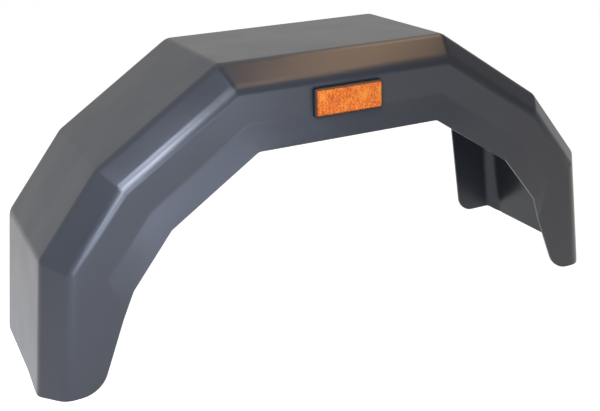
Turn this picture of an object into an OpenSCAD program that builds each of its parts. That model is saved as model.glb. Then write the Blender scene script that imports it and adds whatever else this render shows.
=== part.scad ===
// Moulded mudguard for a single-axle trailer, with a stick-on side reflector.
// X runs along the trailer, -Y is the outer side that faces the road, +Z is up.
// The origin is at the middle of the whole part's footprint, at the height of its feet.

/* [Arch outline] */
// Length between the two lower folds
lower_fold_span = 800; // [720:1:900]
// Length between the two middle folds
middle_fold_span = 640; // [580:1:680]
// Length of the flat top
top_span = 322; // [240:1:400]
// Height of the lower folds above the feet
lower_fold_z = 175; // [160:1:195]
// Height of the middle folds above the feet
middle_fold_z = 275.5; // [250:0.5:300]
// Height of the flat top above the feet
top_z = 380.5; // [350:0.5:420]
// Outward lean of the two end skirts, in degrees
skirt_lean = 8; // [0:0.5:12]

/* [Shell] */
// Width of the shell from its outer face to its back
guard_w = 243; // [180:1:260]
// Thickness of the moulded wall
wall = 3; // [2:0.1:4]
// Depth of the slanted strip behind the outer face
chamfer_depth = 32; // [24:1:44]
// Drop of the slanted strip from the shoulder to the outer face
chamfer_drop = 28; // [20:1:36]
// Radius where the strip meets the outer face
face_edge_r = 24; // [6:1:28]
// Radius at the shoulder
shoulder_r = 18; // [4.5:0.5:24]
// Radius of the back corners
back_r = 22; // [12:1:34]

/* [Outer face] */
// Depth of the outer face, from the outline to the wheel opening
face_band = 106.5; // [90:0.5:120]
// Width of the lip that flares outwards along the wheel opening
lip_w = 34.5; // [26:0.5:42]
// How far the lip's edge stands out from the face
lip_out = 5; // [2:0.5:7]
// Width of the soft bend between the face and the lip
lip_bend = 6; // [2:1:8]
// Height above a front tab's bend at which the lip's crease ends
lip_end_up = 20; // [8:1:40]
// Depth below a front tab's bend at which the lip has run out
lip_end_down = 36; // [16:1:60]
// Height of the bend where each front tab starts
front_tab_z = 128.5; // [100:0.5:135]
// Width of each front tab at its foot
front_tab_w = 72; // [60:1:90]
// Radius of a front tab's inner corner
front_tab_r = 38; // [10:1:40]
// Radius in the corners of the wheel opening
opening_r = 10; // [4:1:30]

/* [Back] */
// Depth of the back flange under the top and the slopes
back_band = 60; // [40:1:68]
// Width of each back tab, from the skirt inwards
back_tab_w = 75; // [70:1:100]
// Height of the back tabs' feet
back_foot_z = 15.5; // [12:0.5:40]
// Radius of a back tab's inner corner
back_tab_r = 28; // [8:1:34]
// Radius in the upper corners of the back opening
back_opening_r = 14; // [4:1:24]

/* [End skirts] */
// Height of the skirts' lower edges
skirt_foot_z = 6; // [1:0.5:11]
// Distance behind the face where the skirt's edge starts to rise
skirt_rise_start = 38; // [20:1:60]
// Length over which it rises
skirt_rise_run = 62; // [20:1:90]

/* [Reflector] */
// Length of the reflector
reflector_l = 97; // [80:1:120]
// Height of the reflector
reflector_h = 38; // [30:1:46]
// Depth of the reflector's housing
housing_depth = 6; // [5.5:0.5:10]
// Radius of the housing's corners
housing_r = 4; // [2.5:0.5:8]
// Thickness of the housing's rim
housing_rim = 1.2; // [0.8:0.1:1.8]
// Thickness of the housing's floor
housing_floor = 1.4; // [1:0.1:2]
// Clearance between the lip and the housing's lower edge, which hangs over it
housing_clear = 0.35; // [0.1:0.05:0.8]
// Distance of the reflector's middle from the guard's middle, to the right if positive
reflector_x = -3.5; // [-30:0.5:30]
// Clearance round the lens
lens_gap = 0.15; // [0.1:0.05:0.4]
// Height of the lens above the rim
lens_proud = 0.4; // [0.1:0.1:1]
// Width of the bevel round the lens's front
lens_bevel = 0.6; // [0.2:0.1:0.8]
// Thickness of the clear front plate of the lens
lens_plate = 1.6; // [1:0.1:2]
// Width of the wall round the back of the lens
lens_wall = 1.8; // [1:0.1:3]
// Greatest spacing of the lens's prisms
prism_pitch = 3.2; // [2.5:0.1:6]
// Height of the lens's prisms
prism_h = 1.3; // [0.6:0.1:1.5]
// Thickness of the adhesive foam pad
pad_t = 1; // [0.5:0.1:2]
// Distance of the pad inside the housing's ends and its upper edge
pad_inset = 4; // [1:0.5:8]
// Clearance between the pad's lower edge and the lip's bend
pad_clear = 0.5; // [0.2:0.1:2]

/* [Hidden] */

// How far a cutter runs past a wall, and how far the form runs on below the feet
past = 5;
run_out = 60;

// Planes of the outer face and the back
reflector_out = pad_t + housing_depth + lens_proud;
back_y = (guard_w + reflector_out) / 2;
face_y = back_y - guard_w;
lip_edge_y = face_y - lip_out;

// A line of the outline is its outward direction and its distance from the origin
function line_through(a, b) =
    let (d = (b - a) / norm(b - a), n = [-d.y, d.x]) [n, n * a];
function level(z) = [[0, 1], z];
// The point where two lines meet once each has been moved inwards
function meet(l, m, inset_l, inset_m) =
    let (c = l[1] - inset_l,
         d = m[1] - inset_m,
         det = l[0].x * m[0].y - l[0].y * m[0].x)
    [c * m[0].y - d * l[0].y, l[0].x * d - m[0].x * c] / det;

// The right half of the outline, from the flat top down to the foot
upper_fold = [top_span / 2, top_z];
middle_fold = [middle_fold_span / 2, middle_fold_z];
lower_fold = [lower_fold_span / 2, lower_fold_z];
skirt_end = [lower_fold.x + lower_fold_z * tan(skirt_lean), 0];
top_line = level(top_z);
upper_line = line_through(upper_fold, middle_fold);
lower_line = line_through(middle_fold, lower_fold);
skirt_line = line_through(lower_fold, skirt_end);
beyond = skirt_end.x + run_out;

// Corners of the right half, moved inwards from the outline
function arch_corners(inset) = [
    meet(upper_line, top_line, inset, inset),
    meet(upper_line, lower_line, inset, inset),
    meet(skirt_line, lower_line, inset, inset),
    meet(skirt_line, level(-run_out), inset, 0)
];

// Balls in the corners touch the planes of the outline, the slanted strip and the face.
// Each station across the shell is a distance inside the outline, a place in Y and a radius.
strip = norm([chamfer_depth, chamfer_drop]);
face_edge_inset = chamfer_drop + face_edge_r * (strip - chamfer_drop) / chamfer_depth;
shoulder_back = chamfer_depth + shoulder_r * (strip - chamfer_depth) / chamfer_drop;
stations = [
    [face_edge_inset, face_y + face_edge_r, face_edge_r],
    [shoulder_r, face_y + shoulder_back, shoulder_r],
    [back_r, back_y - back_r, back_r]
];

// The lip leaves the face at a crease, whose corner a narrow strip fills
lip_start = face_band - lip_w;
lip_slope = lip_out / lip_w;
bend_start = lip_start - lip_bend / 2;
bend_share = lip_bend / 2 / lip_w;
tab_bend = meet(lower_line, level(front_tab_z), face_band, 0);
tab_toe = meet(skirt_line, level(0), 0, 0) - [front_tab_w, 0];
tab_line = line_through(tab_bend, tab_toe);

// The right half of an outline on the lip, whose share is 0 at the crease and 1 at its edge.
// Below the slope it turns in to the tab's edge, where the lip runs out.
function lip_half(share) =
    let (inset = lip_start + lip_w * share)
    [
        arch_corners(inset)[0],
        arch_corners(inset)[1],
        meet(lower_line, level(front_tab_z + lip_end_up * (1 - share)), inset, 0),
        meet(tab_line, level(front_tab_z - lip_end_down * (1 - share)), 0, 0)
    ];

// A right half with its mirror image, which makes one closed outline
function both_halves(half) =
    concat(half, [for (i = [len(half) - 1 : -1 : 0]) [-half[i].x, half[i].y]]);

// A step from 0 to 1 that starts and ends level
function soft_step(t) = (1 - cos(180 * t)) / 2;
function steps(n) = [for (i = [0 : n]) i / n];

// Wheel opening in the outer face, from under the right tab up to the top
front_half = [
    [beyond, -run_out],
    [beyond, 0],
    tab_toe,
    tab_bend,
    meet(upper_line, lower_line, face_band, face_band),
    meet(upper_line, top_line, face_band, face_band)
];
front_radii = [0, 0, front_tab_r, opening_r, opening_r, opening_r];

// Opening in the back, whose tabs' feet run up from the skirts' edges in a soft step
back_foot_run = [
    for (t = steps(10))
        meet(skirt_line, level(skirt_foot_z), 0, 0)
        + [-back_r * t, (back_foot_z - skirt_foot_z) * soft_step(t)]
];
back_half = concat(
    [[beyond, -run_out], [beyond, skirt_foot_z]],
    back_foot_run,
    [
        meet(skirt_line, level(back_foot_z), back_tab_w, 0),
        meet(skirt_line, lower_line, back_tab_w, back_band),
        meet(upper_line, lower_line, back_band, back_band),
        meet(upper_line, top_line, back_band, back_band)
    ]);
back_radii = concat(
    [for (i = [1 : 2 + len(back_foot_run)]) 0],
    [back_tab_r, back_opening_r, back_opening_r, back_opening_r]);

// What lies under the feet and the skirts' edges, seen along X
rise_y = face_y + skirt_rise_start;
under_feet = concat(
    [[back_y + past, -2 * run_out], [back_y + past, skirt_foot_z]],
    [for (t = steps(10)) [rise_y + skirt_rise_run * (1 - t), skirt_foot_z * soft_step(1 - t)]],
    [[lip_edge_y - past, 0], [lip_edge_y - past, -2 * run_out]]);

// Reflector: the lens stands in the housing's pocket, and the pad holds the housing.
// The housing hangs as far over the lip as its clearance lets it, and the pad ends above the bend.
housing_foot = top_z - lip_start - (pad_t - housing_clear) / lip_slope;
reflector_z = housing_foot + reflector_h / 2;
pad_foot = top_z - bend_start + pad_clear;
pad_top = housing_foot + reflector_h - pad_inset;
housing_back = face_y - pad_t;
housing_front = housing_back - housing_depth;
pocket_back = housing_back - housing_floor;
lens_front = housing_front - lens_proud;
lens_l = reflector_l - 2 * (housing_rim + lens_gap);
lens_h = reflector_h - 2 * (housing_rim + lens_gap);
lens_r = housing_r - housing_rim - lens_gap;
prisms_y = lens_front + lens_plate;
field_l = lens_l - 2 * lens_wall;
field_h = lens_h - 2 * lens_wall;
prisms_x = ceil(field_l / prism_pitch);
prisms_z = ceil(field_h / prism_pitch);

// Points of an outline with each corner replaced by an arc
function arc_at(a, b, c, r) =
    r <= 0 ? [b] :
    let (u = (a - b) / norm(a - b),
         v = (c - b) / norm(c - b),
         half = acos(u * v) / 2,
         middle = b + (u + v) / norm(u + v) * r / sin(half),
         from = b + u * r / tan(half) - middle,
         to = b + v * r / tan(half) - middle,
         turn = 180 - 2 * half,
         n = ceil(turn / 10))
    [for (t = steps(n)) middle + (from * sin(turn * (1 - t)) + to * sin(turn * t)) / sin(turn)];
function rounded(points, radii) =
    let (n = len(points))
    [for (i = [0 : n - 1])
        each arc_at(points[(i + n - 1) % n], points[i], points[(i + 1) % n], radii[i])];

// A ball whose facets reach its full radius along X, Y and Z
module ball(r, fine = 32) {
    sphere(r / cos(180 / fine), $fn = fine);
}

// The guard's closed form, with a surface that lies inside the outer one by an offset
module guard_form(offset_in) {
    hull()
        for (s = stations, p = arch_corners(s[0]), side = [-1, 1])
            translate([side * p.x, s[1], p.y])
                ball(s[2] - offset_in);
}

// A step of the lip from one share of its width and height to another
module lip_step(from_share, from_out, to_share, to_out, move_back) {
    hull()
        for (end = [[from_share, from_out], [to_share, to_out]])
            run_y(face_y - end[1] + move_back, face_y + wall / 2 + move_back)
                polygon(both_halves(lip_half(end[0])));
}

// The lip with its soft bend, moved back by a distance
module lip_form(move_back) {
    lip_step(-bend_share, 0, bend_share, lip_out * bend_share, move_back);
    lip_step(0, 0, 1, lip_out, move_back);
}

// Runs an outline of the X-Z plane from one Y to another
module run_y(from, to) {
    translate([0, to, 0])
        rotate([90, 0, 0])
            linear_extrude(to - from)
                children();
}

// An opening that is the same on both sides of the middle
module opening(half, radii, from, to) {
    last = len(half) - 1;
    run_y(from, to)
        polygon(rounded(
            both_halves(half),
            concat(radii, [for (i = [last : -1 : 0]) radii[i]])));
}

module feet_cutter() {
    rotate([90, 0, 90])
        linear_extrude(2 * beyond, center = true)
            polygon(under_feet);
}

module mudguard_shell() {
    color([0.3, 0.31, 0.33])
        difference() {
            union() {
                guard_form(0);
                lip_form(0);
            }
            guard_form(wall);
            lip_form(wall);
            opening(front_half, front_radii, lip_edge_y - past, face_y + face_edge_r);
            opening(back_half, back_radii, back_y - back_r, back_y + past);
            feet_cutter();
        }
}

// A plate with round corners, centred on the reflector unless its middle is given
module plate(l, h, r, from, to, middle = reflector_z) {
    run_y(from, to)
        translate([reflector_x, middle])
            polygon(rounded([[l, h], [-l, h], [-l, -h], [l, -h]] / 2, [r, r, r, r]));
}

module adhesive_pad() {
    color([0.12, 0.12, 0.12])
        plate(reflector_l - 2 * pad_inset, pad_top - pad_foot, housing_r / 2,
            housing_back, face_y, (pad_top + pad_foot) / 2);
}

module reflector_housing() {
    color([0.05, 0.05, 0.06])
        difference() {
            plate(reflector_l, reflector_h, housing_r, housing_front, housing_back);
            plate(reflector_l - 2 * housing_rim, reflector_h - 2 * housing_rim,
                housing_r - housing_rim, housing_front - past, pocket_back);
        }
}

// A row of ridges along X that point backwards
module ridges(length, count, run) {
    pitch = length / count;
    root = lens_plate / 4;
    linear_extrude(run, center = true)
        polygon([
            [-length / 2, -root],
            for (i = [0 : count - 1], half = [0, 1])
                [-length / 2 + (i + half / 2) * pitch, half * prism_h],
            [length / 2, 0],
            [length / 2, -root]
        ]);
}

// Two crossed rows of ridges leave a field of pyramids
module prism_field() {
    translate([reflector_x, prisms_y, reflector_z])
        intersection() {
            ridges(field_l, prisms_x, field_h);
            rotate([0, 90, 0])
                ridges(field_h, prisms_z, field_l);
        }
}

module reflector_lens() {
    color([0.9, 0.42, 0.08])
        union() {
            difference() {
                hull() {
                    plate(lens_l, lens_h, lens_r, lens_front + lens_bevel, pocket_back);
                    plate(lens_l - 2 * lens_bevel, lens_h - 2 * lens_bevel, lens_r - lens_bevel,
                        lens_front, pocket_back);
                }
                plate(field_l, field_h, 0, prisms_y, pocket_back + past);
            }
            prism_field();
        }
}

mudguard_shell();
adhesive_pad();
reflector_housing();
reflector_lens();
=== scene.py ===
import math

import bpy
from mathutils import Matrix, Vector


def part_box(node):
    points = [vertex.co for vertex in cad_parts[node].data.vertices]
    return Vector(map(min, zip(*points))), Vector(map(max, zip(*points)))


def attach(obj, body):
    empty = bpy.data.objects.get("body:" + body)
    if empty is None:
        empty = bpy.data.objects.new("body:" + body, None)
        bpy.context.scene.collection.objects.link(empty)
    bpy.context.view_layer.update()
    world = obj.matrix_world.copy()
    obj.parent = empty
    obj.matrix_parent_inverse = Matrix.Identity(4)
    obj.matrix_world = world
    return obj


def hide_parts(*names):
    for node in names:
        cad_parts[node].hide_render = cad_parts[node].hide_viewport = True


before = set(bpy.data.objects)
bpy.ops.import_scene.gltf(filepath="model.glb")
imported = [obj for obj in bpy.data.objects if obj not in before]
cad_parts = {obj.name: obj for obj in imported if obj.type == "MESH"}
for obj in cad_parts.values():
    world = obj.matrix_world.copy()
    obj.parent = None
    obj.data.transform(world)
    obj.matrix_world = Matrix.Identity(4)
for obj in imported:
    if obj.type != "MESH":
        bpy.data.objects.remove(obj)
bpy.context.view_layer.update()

MM = 0.001
trim_round = 0.5 * MM
trim_angle = math.radians(60)
fold_angle = math.radians(30)
flat_angle = math.radians(0.3)
weld = 0.01 * MM
sheet = 3 * MM
guard_width = 243 * MM
back_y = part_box("mudguard_shell")[1][1]
face_y = back_y - guard_width
foot_height = 20 * MM
cut_slant = 0.6
grain_size = 1.1 * MM
wave_length = 80 * MM
wave_height = 1.5 * MM
cloud_size = 60 * MM


def linear(hex_colour):
    """An sRGB hex colour as the linear RGBA that a shader socket takes."""
    def channel(text):
        c = int(text, 16) / 255
        return c / 12.92 if c <= 0.04045 else ((c + 0.055) / 1.055) ** 2.4
    return (*(channel(hex_colour[i:i + 2]) for i in (1, 3, 5)), 1.0)


def add_node(tree, kind, settings=None, sockets=None, **inputs):
    """A shader node with its settings. Inputs are named, or numbered in sockets, and are values or links."""
    node = tree.nodes.new(kind)
    for name, value in (settings or {}).items():
        setattr(node, name, value)
    named = {key.replace("_", " "): value for key, value in inputs.items()}
    for key, value in {**named, **(sockets or {})}.items():
        if isinstance(value, bpy.types.NodeSocket):
            tree.links.new(value, node.inputs[key])
        else:
            node.inputs[key].default_value = value
    return node


def new_material(name):
    """An empty node material and its tree."""
    material = bpy.data.materials.new(name)
    material.use_nodes = True
    material.node_tree.nodes.clear()
    return material, material.node_tree


def ramp(tree, fac, stops):
    """A colour ramp from (place, grey or colour) stops."""
    node = add_node(tree, "ShaderNodeValToRGB", Fac=fac)
    marks = node.color_ramp.elements
    while len(marks) < len(stops):
        marks.new(1.0)
    for mark, (place, colour) in zip(marks, stops):
        mark.position = place
        mark.color = colour if isinstance(colour, tuple) else (colour, colour, colour, 1)
    return node.outputs["Color"]


def arithmetic(tree, operation, *values):
    """The result of one sum on values or sockets."""
    return add_node(tree, "ShaderNodeMath", {"operation": operation}, dict(enumerate(values))).outputs[0]


def merged_copy(node, name):
    """The CAD node's own form as a new piece with joined vertices and whole flat faces."""
    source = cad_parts[node]
    piece = bpy.data.objects.new(name, source.data.copy())
    bpy.context.collection.objects.link(piece)
    bpy.ops.object.select_all(action="DESELECT")
    bpy.context.view_layer.objects.active = piece
    piece.select_set(True)
    bpy.ops.object.mode_set(mode="EDIT")
    bpy.ops.mesh.select_all(action="SELECT")
    bpy.ops.mesh.remove_doubles(threshold=weld)
    bpy.ops.mesh.dissolve_limited(angle_limit=flat_angle)
    bpy.ops.object.mode_set(mode="OBJECT")
    return piece


def soften(piece, width, angle, segments=2):
    """Rounds the sharp edges and shades flat faces as flat."""
    rounding = piece.modifiers.new("rounding", "BEVEL")
    rounding.width = width
    rounding.segments = segments
    rounding.limit_method = "ANGLE"
    rounding.angle_limit = angle
    rounding.harden_normals = False
    bpy.ops.object.modifier_apply(modifier="rounding")
    bpy.ops.object.shade_smooth_by_angle(angle=fold_angle)
    shading = piece.modifiers.new("shading", "WEIGHTED_NORMAL")
    shading.keep_sharp = True
    shading.weight = 80
    bpy.ops.object.modifier_apply(modifier="shading")


def finish_piece(piece, node, material):
    """Gives the piece its material and its place on the part."""
    piece.data.materials.clear()
    piece.data.materials.append(material)
    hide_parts(node)
    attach(piece, "root")


def trimmed_edge(tree, place):
    """1 where the sheet was cut: the edges of both openings and of the feet, told by their place and direction."""
    facing = add_node(tree, "ShaderNodeSeparateXYZ",
                      Vector=add_node(tree, "ShaderNodeNewGeometry").outputs["True Normal"]).outputs
    at = add_node(tree, "ShaderNodeSeparateXYZ", Vector=place).outputs
    sideways = arithmetic(tree, "LESS_THAN", arithmetic(tree, "ABSOLUTE", facing["Y"]), cut_slant)
    outer = arithmetic(tree, "LESS_THAN", at["Y"], face_y + sheet)
    inner = arithmetic(tree, "GREATER_THAN", at["Y"], back_y - sheet)
    opening = arithmetic(tree, "MULTIPLY", sideways, arithmetic(tree, "MAXIMUM", outer, inner))
    downwards = arithmetic(tree, "LESS_THAN", facing["Z"], -cut_slant)
    foot = arithmetic(tree, "MULTIPLY", downwards, arithmetic(tree, "LESS_THAN", at["Z"], foot_height))
    return arithmetic(tree, "MAXIMUM", opening, foot)


def polyethylene():
    """Thermoformed polyethylene: dark, waxy and fine-grained, with a broad soft sheen and cut edges painted paler
    as a highlight.
    """
    material, tree = new_material("thermoformed_polyethylene")
    place = add_node(tree, "ShaderNodeTexCoord").outputs["Object"]
    grain = add_node(tree, "ShaderNodeTexNoise", Vector=place, Scale=1 / grain_size, Detail=3.0, Roughness=0.55)
    wave = add_node(tree, "ShaderNodeTexNoise", Vector=place, Scale=1 / wave_length, Detail=1.0, Roughness=0.4)
    cloud = add_node(tree, "ShaderNodeTexNoise", Vector=place, Scale=1 / cloud_size, Detail=4.0, Roughness=0.5)
    colour = ramp(tree, cloud.outputs["Fac"], [(0.2, linear("#2D2F33")), (0.8, linear("#313337"))])
    gloss = ramp(tree, cloud.outputs["Fac"], [(0.2, 0.29), (0.8, 0.32)])
    # Painted highlight: every cut face is coloured paler, standing in for light caught on the cut edges.
    painted_edge_highlight = add_node(tree, "ShaderNodeMix", {"data_type": "RGBA"},
                    {0: trimmed_edge(tree, place), 6: colour, 7: linear("#62656A")}).outputs[2]
    waves = add_node(tree, "ShaderNodeBump", Height=wave.outputs["Fac"], Strength=1.0, Distance=wave_height)
    bumps = add_node(tree, "ShaderNodeBump", Height=grain.outputs["Fac"], Strength=0.25, Distance=0.05 * MM,
                     Normal=waves.outputs["Normal"])
    skin = add_node(tree, "ShaderNodeBsdfPrincipled", Base_Color=painted_edge_highlight, Roughness=gloss, IOR=1.5,
                    Normal=bumps.outputs["Normal"])
    add_node(tree, "ShaderNodeOutputMaterial", Surface=skin.outputs["BSDF"])
    return material


shell = merged_copy("mudguard_shell", "guard_shell")
soften(shell, trim_round, trim_angle)
finish_piece(shell, "mudguard_shell", polyethylene())

# Adhesive pad
# The reflector is held by a pad of black double-sided acrylic foam tape, cut a little smaller than the reflector.
pad = merged_copy("adhesive_pad", "foam_pad")


def foam():
    """Closed-cell acrylic foam: black, matt and faintly pitted."""
    material, tree = new_material("acrylic_foam")
    place = add_node(tree, "ShaderNodeTexCoord").outputs["Object"]
    cells = add_node(tree, "ShaderNodeTexNoise", Vector=place, Scale=1 / (0.6 * MM), Detail=2.0)
    colour = ramp(tree, cells.outputs["Fac"], [(0.35, linear("#161616")), (0.65, linear("#242424"))])
    bumps = add_node(tree, "ShaderNodeBump", Height=cells.outputs["Fac"], Strength=0.5, Distance=0.1 * MM)
    skin = add_node(tree, "ShaderNodeBsdfPrincipled", Base_Color=colour, Roughness=0.9, IOR=1.47,
                    Normal=bumps.outputs["Normal"])
    add_node(tree, "ShaderNodeOutputMaterial", Surface=skin.outputs["BSDF"])
    return material


finish_piece(pad, "adhesive_pad", foam())

# Reflector housing
# A shallow tray moulded in black ABS. It holds the lens and shows as a thin dark rim round it.
housing = merged_copy("reflector_housing", "reflector_tray")
soften(housing, 0.25 * MM, math.radians(50))


def black_abs():
    """Injection-moulded ABS: black with a soft gloss and a faint bloom."""
    material, tree = new_material("injection_moulded_abs")
    place = add_node(tree, "ShaderNodeTexCoord").outputs["Object"]
    bloom = add_node(tree, "ShaderNodeTexNoise", Vector=place, Scale=1 / (4 * MM), Detail=3.0)
    colour = ramp(tree, bloom.outputs["Fac"], [(0.3, linear("#0E0B0C")), (0.7, linear("#171314"))])
    gloss = ramp(tree, bloom.outputs["Fac"], [(0.3, 0.28), (0.7, 0.38)])
    skin = add_node(tree, "ShaderNodeBsdfPrincipled", Base_Color=colour, Roughness=gloss, IOR=1.53)
    add_node(tree, "ShaderNodeOutputMaterial", Surface=skin.outputs["BSDF"])
    return material


finish_piece(housing, "reflector_housing", black_abs())

# Reflector lens
# An amber PMMA lens. Its front is smooth and bevelled, and fine prisms moulded on its back throw light back, so it
# shows a field of small cells, rows of larger teeth along its edges, and a brighter half where the prisms turn.
lens = merged_copy("reflector_lens", "amber_lens")
bpy.ops.object.shade_smooth_by_angle(angle=math.radians(12))
lens_low, lens_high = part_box("reflector_lens")
lens_half = [(high - low) / 2 for low, high in zip(lens_low, lens_high)]
lens_middle = [(high + low) / 2 for low, high in zip(lens_low, lens_high)]
bottom_teeth = 3.3 * MM
side_teeth = 1.7 * MM
cell = 1.15 * MM
row_pitch = 5 * MM
rows_end = 4 * MM
patch_size = 14 * MM
left_border, left_bite = 2.4 * MM, 0.9 * MM
foot_border, foot_bite = 2.9 * MM, 1.4 * MM
right_border = 1.6 * MM
top_border = 1.8 * MM


def amber_pmma():
    """Injection-moulded amber PMMA: clear, deeply coloured and polished, with prisms seen through it."""
    material, tree = new_material("amber_pmma")
    place = add_node(tree, "ShaderNodeTexCoord").outputs["Object"]
    centred = add_node(tree, "ShaderNodeMapping", Vector=place, Location=[-m for m in lens_middle]).outputs[0]
    axes = add_node(tree, "ShaderNodeSeparateXYZ", Vector=centred).outputs
    along, up = axes["X"], axes["Z"]

    # Small cells, each a little brighter or darker than the next
    cells = add_node(tree, "ShaderNodeTexVoronoi", {"feature": "F1", "voronoi_dimensions": "3D"},
                     Vector=centred, Scale=1 / cell, Randomness=0.55)
    cell_tone = add_node(tree, "ShaderNodeSeparateColor", Color=cells.outputs["Color"]).outputs[0]
    field = ramp(tree, cell_tone, [(0.1, linear("#B04004")), (0.5, linear("#DC660A")), (0.9, linear("#F08A1C"))])

    # The left half has soft upright rows, which the right half lacks
    rows = arithmetic(tree, "SINE", arithmetic(tree, "MULTIPLY", along, 2 * math.pi / row_pitch))
    rows = arithmetic(tree, "MULTIPLY_ADD", rows, 0.5, 0.5)
    left = arithmetic(tree, "LESS_THAN", along, rows_end)
    lined = arithmetic(tree, "MULTIPLY", arithmetic(tree, "MULTIPLY", rows, left), 0.35)
    field = add_node(tree, "ShaderNodeMix", {"data_type": "RGBA"},
                     {0: lined, 6: field, 7: linear("#A83C04")}).outputs[2]

    # Bright patches where the prisms throw the room's light back
    patch = add_node(tree, "ShaderNodeTexNoise", Vector=centred, Scale=1 / patch_size, Detail=2.0).outputs["Fac"]
    lit = arithmetic(tree, "MULTIPLY", ramp(tree, patch, [(0.5, 0.0), (0.72, 1.0)]), 0.5)
    field = add_node(tree, "ShaderNodeMix", {"data_type": "RGBA"},
                     {0: lit, 6: field, 7: linear("#F79C2C")}).outputs[2]

    # A dark toothed border inside the rim
    def border(distance, run, pitch, width, bite):
        """1 where a point lies in the toothed border along one edge of the lens, and 0 elsewhere."""
        tooth = arithmetic(tree, "PINGPONG", arithmetic(tree, "MULTIPLY", run, 1 / pitch), 0.5)
        reach = arithmetic(tree, "MULTIPLY_ADD", tooth, 2 * bite, width - bite)
        return arithmetic(tree, "LESS_THAN", distance, reach)

    from_left = arithmetic(tree, "ADD", along, lens_half[0])
    from_right = arithmetic(tree, "MULTIPLY_ADD", along, -1.0, lens_half[0])
    from_foot = arithmetic(tree, "ADD", up, lens_half[2])
    from_top = arithmetic(tree, "MULTIPLY_ADD", up, -1.0, lens_half[2])
    dark = border(from_left, up, side_teeth, left_border, left_bite)
    dark = arithmetic(tree, "MAXIMUM", dark, border(from_foot, along, bottom_teeth, foot_border, foot_bite))
    dark = arithmetic(tree, "MAXIMUM", dark, arithmetic(tree, "LESS_THAN", from_right, right_border))
    dark = arithmetic(tree, "MAXIMUM", dark, arithmetic(tree, "LESS_THAN", from_top, top_border))
    colour = add_node(tree, "ShaderNodeMix", {"data_type": "RGBA"},
                      {0: arithmetic(tree, "MULTIPLY", dark, 0.9), 6: field, 7: linear("#401004")}).outputs[2]
    skin = add_node(tree, "ShaderNodeBsdfPrincipled", Base_Color=colour, Roughness=0.14, IOR=1.49)
    add_node(tree, "ShaderNodeOutputMaterial", Surface=skin.outputs["BSDF"])
    return material


finish_piece(lens, "reflector_lens", amber_pmma())

# Floor
# A plain white sweep that the guard stands on. It is white to the camera and keeps the guard's soft shadow.
floor_size = 30
floor_glow = 0.93
bpy.ops.mesh.primitive_plane_add(size=floor_size, location=(0, 0, 0))
floor = bpy.context.object
floor.name = "floor"


def seen_directly(tree, path):
    """1 for a ray that shows the background: to the camera, in a reflection or through something clear."""
    shown = arithmetic(tree, "MAXIMUM", path["Is Camera Ray"], path["Is Glossy Ray"])
    return arithmetic(tree, "MAXIMUM", shown, path["Is Transmission Ray"])


def white_sweep():
    """Matt white paper that shows as white behind the guard and bounces plain light onto it."""
    material, tree = new_material("white_paper")
    shown = seen_directly(tree, add_node(tree, "ShaderNodeLightPath").outputs)
    strength = arithmetic(tree, "MULTIPLY", shown, floor_glow)
    glow = add_node(tree, "ShaderNodeEmission", Color=(1, 1, 1, 1), Strength=strength)
    paper = add_node(tree, "ShaderNodeBsdfDiffuse", Color=linear("#B4B4B4"))
    both = add_node(tree, "ShaderNodeAddShader", None, {0: glow.outputs[0], 1: paper.outputs[0]})
    add_node(tree, "ShaderNodeOutputMaterial", Surface=both.outputs[0])
    return material


floor.data.materials.append(white_sweep())

# Light
# Three cool soft boxes with grids, one above the other beside the camera, draw the streak along the face's edge.
# Two low strips light its left half, and a warm lamp overhead colours the slanted strip under the top. In
# reflections the room is pale behind the guard and darker in front of it and to its right.


def soft_box(name, place, target, size, power, colour, spread=180):
    """A rectangular area lamp that faces a point. Spread is the whole angle that its grid lets through."""
    data = bpy.data.lights.new(name, "AREA")
    data.shape = "RECTANGLE"
    data.size, data.size_y = size
    data.energy = power
    data.spread = math.radians(spread)
    data.color = linear(colour)[:3]
    lamp = bpy.data.objects.new(name, data)
    lamp.location = place
    lamp.rotation_euler = (Vector(target) - Vector(place)).to_track_quat("-Z", "Y").to_euler()
    bpy.context.collection.objects.link(lamp)


left_half = (-0.34, -0.12, 0.22)
top_strip = (0.0, -0.1, 0.36)
box_size = (0.32, 0.32)
grid_angle = 70
soft_box("middle_light", (-0.57, -1.07, 0.81), left_half, box_size, 1.5, "#E6EEFF", grid_angle)
soft_box("low_light", (-0.60, -1.17, 0.56), left_half, box_size, 1.0, "#DDE8FF", grid_angle)
soft_box("high_light", (-0.73, -0.72, 1.09), left_half, box_size, 1.25, "#DDE8FF", grid_angle)
soft_box("low_strip", (-0.50, -1.10, 0.16), (-0.3, -0.1, 0.2), (0.5, 0.22), 4, "#D5E2FF")
soft_box("front_strip", (-0.05, -1.15, 0.16), (-0.2, -0.1, 0.2), (0.7, 0.24), 2.2, "#D5E2FF")
soft_box("warm_lamp", (0.64, -0.25, 1.55), top_strip, (1.8, 0.4), 10, "#FFCE96")

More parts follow.
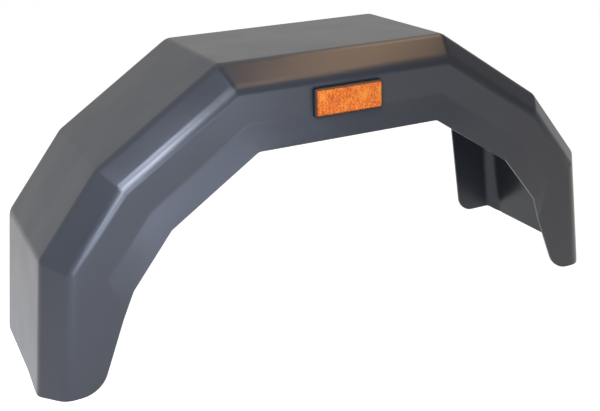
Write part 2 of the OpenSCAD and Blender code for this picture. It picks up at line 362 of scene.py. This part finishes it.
fill_level = 0.14
right_shade = 0.25
room_front, room_back = 0.44, 0.64
world = bpy.data.worlds.new("room")
bpy.context.scene.world = world
world.use_nodes = True
tree = world.node_tree
tree.nodes.clear()
path = add_node(tree, "ShaderNodeLightPath").outputs
ray = add_node(tree, "ShaderNodeTexCoord").outputs["Generated"]
direction = add_node(tree, "ShaderNodeSeparateXYZ", Vector=ray)
facing = arithmetic(tree, "MULTIPLY_ADD", direction.outputs["Y"], 0.5, 0.5)
facing = arithmetic(tree, "MULTIPLY_ADD", direction.outputs["X"], -right_shade, facing)
behind = ramp(tree, facing, [(room_front, linear("#80868F")), (room_back, linear("#E0E0E0"))])
glossy = add_node(tree, "ShaderNodeBackground", Color=behind, Strength=1.0)
white = add_node(tree, "ShaderNodeBackground", Color=(1, 1, 1, 1), Strength=1.0)
fill = add_node(tree, "ShaderNodeBackground", Color=linear("#F2F5FF"), Strength=fill_level)
mirrored = add_node(tree, "ShaderNodeMixShader", None,
                    {0: path["Is Glossy Ray"], 1: fill.outputs[0], 2: glossy.outputs[0]})
shown = arithmetic(tree, "MAXIMUM", path["Is Camera Ray"], path["Is Transmission Ray"])
room = add_node(tree, "ShaderNodeMixShader", None, {0: shown, 1: mirrored.outputs[0], 2: white.outputs[0]})
add_node(tree, "ShaderNodeOutputWorld", Surface=room.outputs[0])
bpy.context.scene.view_settings.view_transform = "Standard"

# Camera
# It stands to the left of the guard's road side and looks down on it. Its place was solved from the corners of the
# arch, and is given from the middle of the shell's outer face at its foot.
frame_width = 600
focal_length = 941.13
yaw, pitch, roll = (math.radians(a) for a in (25.83, -20.91, -1.92))
centre_px = (308.24, 200.61)
frame_middle = (300.0, 205.5)
look = Vector((math.sin(yaw) * math.cos(pitch), math.cos(yaw) * math.cos(pitch), math.sin(pitch)))
level_right = Vector((math.cos(yaw), -math.sin(yaw), 0))
level_up = level_right.cross(look)
right = math.cos(roll) * level_right + math.sin(roll) * level_up
up = -math.sin(roll) * level_right + math.cos(roll) * level_up
camera_data = bpy.data.cameras.new("camera")
camera_data.sensor_width = 36
camera_data.lens = focal_length * camera_data.sensor_width / frame_width
camera_data.shift_x = (frame_middle[0] - centre_px[0]) / frame_width
camera_data.shift_y = (centre_px[1] - frame_middle[1]) / frame_width
camera = bpy.data.objects.new("camera", camera_data)
stand = Matrix.Translation((-0.55282, face_y - 1.0130, 0.62593))
camera.matrix_world = stand @ Matrix((right, up, -look)).transposed().to_4x4()
bpy.context.collection.objects.link(camera)
bpy.context.scene.camera = camera
